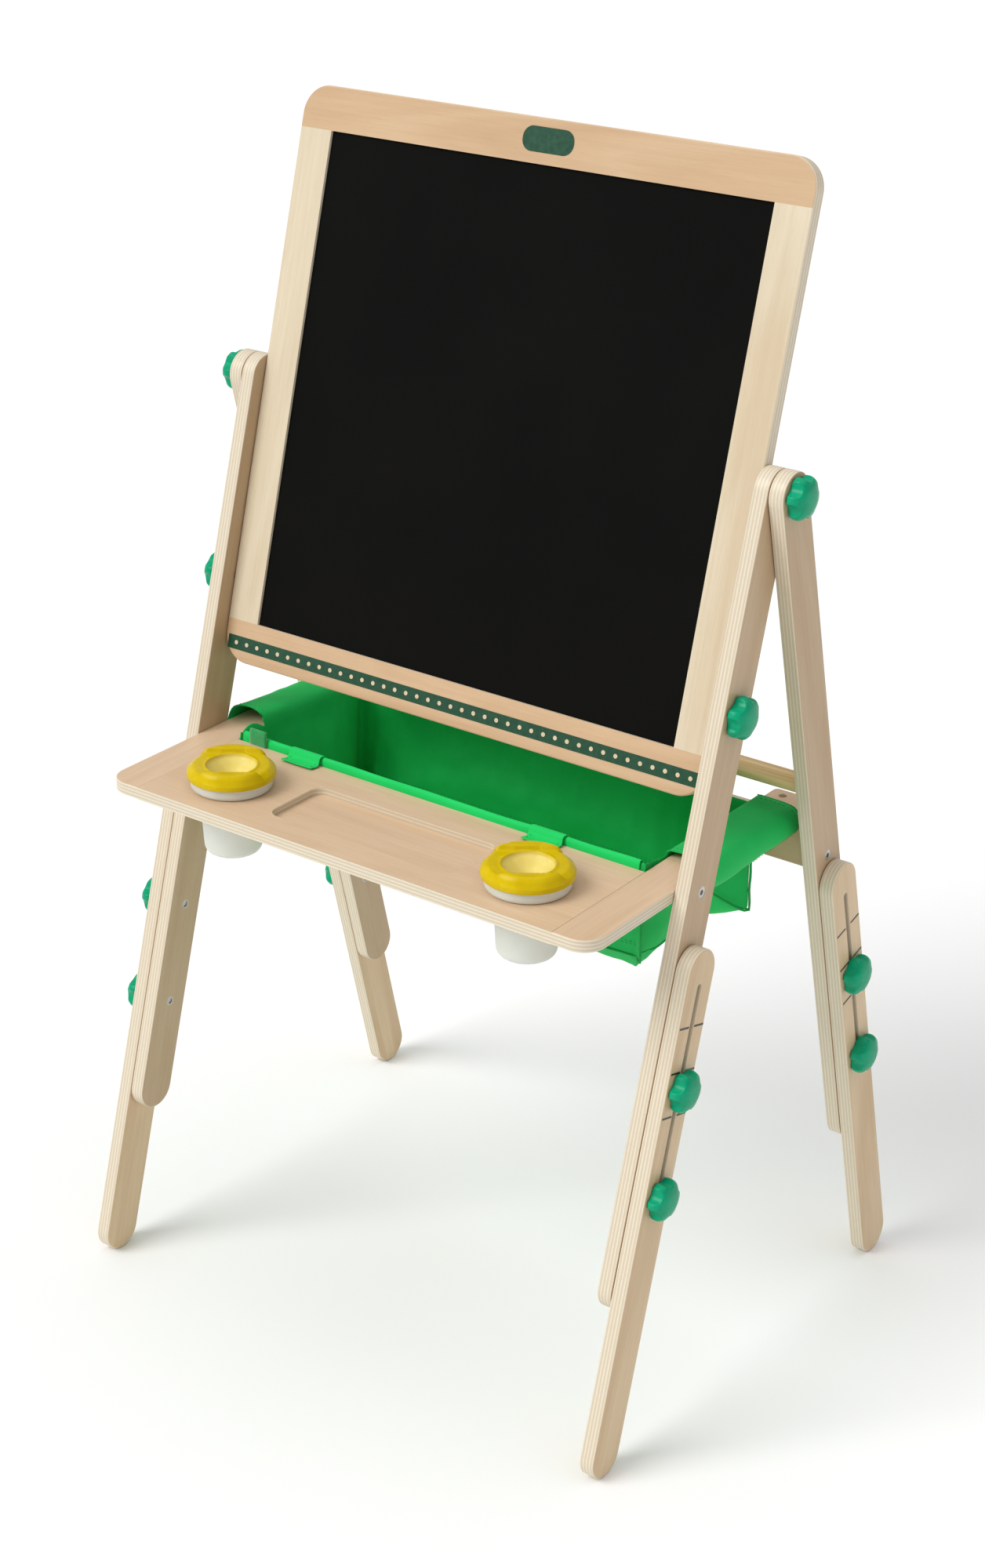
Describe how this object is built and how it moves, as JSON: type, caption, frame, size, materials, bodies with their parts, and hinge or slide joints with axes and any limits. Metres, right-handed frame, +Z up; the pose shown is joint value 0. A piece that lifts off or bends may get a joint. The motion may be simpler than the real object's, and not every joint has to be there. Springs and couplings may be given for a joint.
{
  "type": "double-sided chalkboard easel",
  "caption": "Free-standing folding wooden easel: double-sided chalk and white board between sliding legs, with a paint tray, lidded cups and a fabric bin.",
  "frame": {"origin": "on the floor at the middle of the easel's footprint", "axes": "+X to the right seen from the chalkboard side, +Y to the back, +Z up"},
  "size_m": [0.675, 0.508, 1.1371],
  "materials": {
    "birch_plywood": "clear lacquered birch plywood",
    "hardwood_dowel": "clear lacquered",
    "chalkboard": "matt black chalk coating",
    "whiteboard": "glossy dry-wipe coating",
    "knob_plastic": "glossy moulded",
    "zinc_steel": "zinc plated",
    "cup_plastic": "translucent white",
    "lid_plastic": "translucent yellow",
    "bin_fabric": "woven polyester"
  },
  "bodies": {
    "front_frame": {"front_leg_left": "birch_plywood", "front_leg_right": "birch_plywood", "front_leg_inserts": "zinc_steel", "tray_panel": "birch_plywood", "tray_arm_left": "birch_plywood", "tray_arm_right": "birch_plywood", "tray_dowels": "hardwood_dowel", "tray_bolts": "zinc_steel", "tray_inserts": "zinc_steel", "fabric_bin": "bin_fabric", "bin_tabs": "bin_fabric"},
    "rear_frame": {"rear_leg_left": "birch_plywood", "rear_leg_right": "birch_plywood", "rear_leg_inserts": "zinc_steel", "rear_cross_plank": "birch_plywood", "rear_dowel": "hardwood_dowel", "cross_plank_bolts": "zinc_steel", "cross_plank_inserts": "zinc_steel"},
    "board": {"board_top_rail": "birch_plywood", "board_bottom_rail": "birch_plywood", "board_stile_left": "birch_plywood", "board_stile_right": "birch_plywood", "board_dowels": "hardwood_dowel", "board_pivot_inserts": "zinc_steel", "chalkboard_panel": "chalkboard", "whiteboard_panel": "whiteboard"},
    "front_extension_left": {"front_extension_left": "birch_plywood"},
    "rear_extension_left": {"rear_extension_left": "birch_plywood"},
    "front_extension_right": {"front_extension_right": "birch_plywood"},
    "rear_extension_right": {"rear_extension_right": "birch_plywood"},
    "pivot_knob_left": {"pivot_knob_left": "knob_plastic", "pivot_stud_left": "zinc_steel"},
    "pivot_knob_right": {"pivot_knob_right": "knob_plastic", "pivot_stud_right": "zinc_steel"},
    "board_lock_knob_left": {"board_lock_knob_left": "knob_plastic", "board_lock_stud_left": "zinc_steel"},
    "board_lock_knob_right": {"board_lock_knob_right": "knob_plastic", "board_lock_stud_right": "zinc_steel"},
    "front_upper_knob_left": {"front_upper_knob_left": "knob_plastic", "front_upper_stud_left": "zinc_steel"},
    "front_upper_knob_right": {"front_upper_knob_right": "knob_plastic", "front_upper_stud_right": "zinc_steel"},
    "front_lower_knob_left": {"front_lower_knob_left": "knob_plastic", "front_lower_stud_left": "zinc_steel"},
    "front_lower_knob_right": {"front_lower_knob_right": "knob_plastic", "front_lower_stud_right": "zinc_steel"},
    "rear_upper_knob_left": {"rear_upper_knob_left": "knob_plastic", "rear_upper_stud_left": "zinc_steel"},
    "rear_upper_knob_right": {"rear_upper_knob_right": "knob_plastic", "rear_upper_stud_right": "zinc_steel"},
    "rear_lower_knob_left": {"rear_lower_knob_left": "knob_plastic", "rear_lower_stud_left": "zinc_steel"},
    "rear_lower_knob_right": {"rear_lower_knob_right": "knob_plastic", "rear_lower_stud_right": "zinc_steel"},
    "paint_cup_left": {"paint_cup_left": "cup_plastic"},
    "cup_lid_left": {"cup_lid_left": "lid_plastic"},
    "paint_cup_right": {"paint_cup_right": "cup_plastic"},
    "cup_lid_right": {"cup_lid_right": "lid_plastic"}
  },
  "joints": [
    {"name": "rear_frame_fold", "type": "hinge", "parent": "front_frame", "child": "rear_frame", "pos_m": [0, 0.00695, 0.8695], "axis": [-1, 0, 0], "range_deg": [0, 17], "deforming": ["fabric_bin"]},
    {"name": "board_turn", "type": "hinge", "parent": "front_frame", "child": "board", "pos_m": [0, 0.00695, 0.8695], "axis": [1, 0, 0], "continuous": true},
    {"name": "front_extension_left_slide", "type": "slide", "parent": "front_frame", "child": "front_extension_left", "axis": [0, -0.2718, -0.9624], "range_m": [-0.012, 0.094]},
    {"name": "rear_extension_left_slide", "type": "slide", "parent": "rear_frame", "child": "rear_extension_left", "axis": [0, 0.2571, -0.9664], "range_m": [-0.012, 0.094]},
    {"name": "front_extension_right_slide", "type": "slide", "parent": "front_frame", "child": "front_extension_right", "axis": [0, -0.2718, -0.9624], "range_m": [-0.012, 0.094]},
    {"name": "rear_extension_right_slide", "type": "slide", "parent": "rear_frame", "child": "rear_extension_right", "axis": [0, 0.2571, -0.9664], "range_m": [-0.012, 0.094]},
    {"name": "pivot_knob_left_turn", "type": "hinge", "parent": "front_frame", "child": "pivot_knob_left", "pos_m": [-0.3, 0.00695, 0.8695], "axis": [-1, 0, 0], "range_deg": [0, 360]},
    {"name": "pivot_knob_right_turn", "type": "hinge", "parent": "front_frame", "child": "pivot_knob_right", "pos_m": [0.3, 0.00695, 0.8695], "axis": [1, 0, 0], "range_deg": [0, 360]},
    {"name": "board_lock_knob_left_turn", "type": "hinge", "parent": "front_frame", "child": "board_lock_knob_left", "pos_m": [-0.3, -0.04578, 0.6828], "axis": [-1, 0, 0], "range_deg": [0, 720]},
    {"name": "board_lock_knob_right_turn", "type": "hinge", "parent": "front_frame", "child": "board_lock_knob_right", "pos_m": [0.3, -0.04578, 0.6828], "axis": [1, 0, 0], "range_deg": [0, 720]},
    {"name": "front_upper_knob_left_turn", "type": "hinge", "parent": "front_frame", "child": "front_upper_knob_left", "pos_m": [-0.3, -0.13666, 0.36102], "axis": [-1, 0, 0], "range_deg": [0, 720]},
    {"name": "front_upper_knob_right_turn", "type": "hinge", "parent": "front_frame", "child": "front_upper_knob_right", "pos_m": [0.3, -0.13666, 0.36102], "axis": [1, 0, 0], "range_deg": [0, 720]},
    {"name": "front_lower_knob_left_turn", "type": "hinge", "parent": "front_frame", "child": "front_lower_knob_left", "pos_m": [-0.3, -0.16428, 0.26324], "axis": [-1, 0, 0], "range_deg": [0, 720]},
    {"name": "front_lower_knob_right_turn", "type": "hinge", "parent": "front_frame", "child": "front_lower_knob_right", "pos_m": [0.3, -0.16428, 0.26324], "axis": [1, 0, 0], "range_deg": [0, 720]},
    {"name": "rear_upper_knob_left_turn", "type": "hinge", "parent": "rear_frame", "child": "rear_upper_knob_left", "pos_m": [-0.3, 0.14185, 0.36244], "axis": [-1, 0, 0], "range_deg": [0, 720]},
    {"name": "rear_upper_knob_right_turn", "type": "hinge", "parent": "rear_frame", "child": "rear_upper_knob_right", "pos_m": [0.3, 0.14185, 0.36244], "axis": [1, 0, 0], "range_deg": [0, 720]},
    {"name": "rear_lower_knob_left_turn", "type": "hinge", "parent": "rear_frame", "child": "rear_lower_knob_left", "pos_m": [-0.3, 0.16797, 0.26426], "axis": [-1, 0, 0], "range_deg": [0, 720]},
    {"name": "rear_lower_knob_right_turn", "type": "hinge", "parent": "rear_frame", "child": "rear_lower_knob_right", "pos_m": [0.3, 0.16797, 0.26426], "axis": [1, 0, 0], "range_deg": [0, 720]},
    {"name": "paint_cup_left_lift", "type": "slide", "parent": "front_frame", "child": "paint_cup_left", "axis": [0, 0, 1], "range_m": [0, 0.12]},
    {"name": "cup_lid_left_lift", "type": "slide", "parent": "paint_cup_left", "child": "cup_lid_left", "axis": [0, 0, 1], "range_m": [0, 0.06]},
    {"name": "paint_cup_right_lift", "type": "slide", "parent": "front_frame", "child": "paint_cup_right", "axis": [0, 0, 1], "range_m": [0, 0.12]},
    {"name": "cup_lid_right_lift", "type": "slide", "parent": "paint_cup_right", "child": "cup_lid_right", "axis": [0, 0, 1], "range_m": [0, 0.06]}
  ]
}
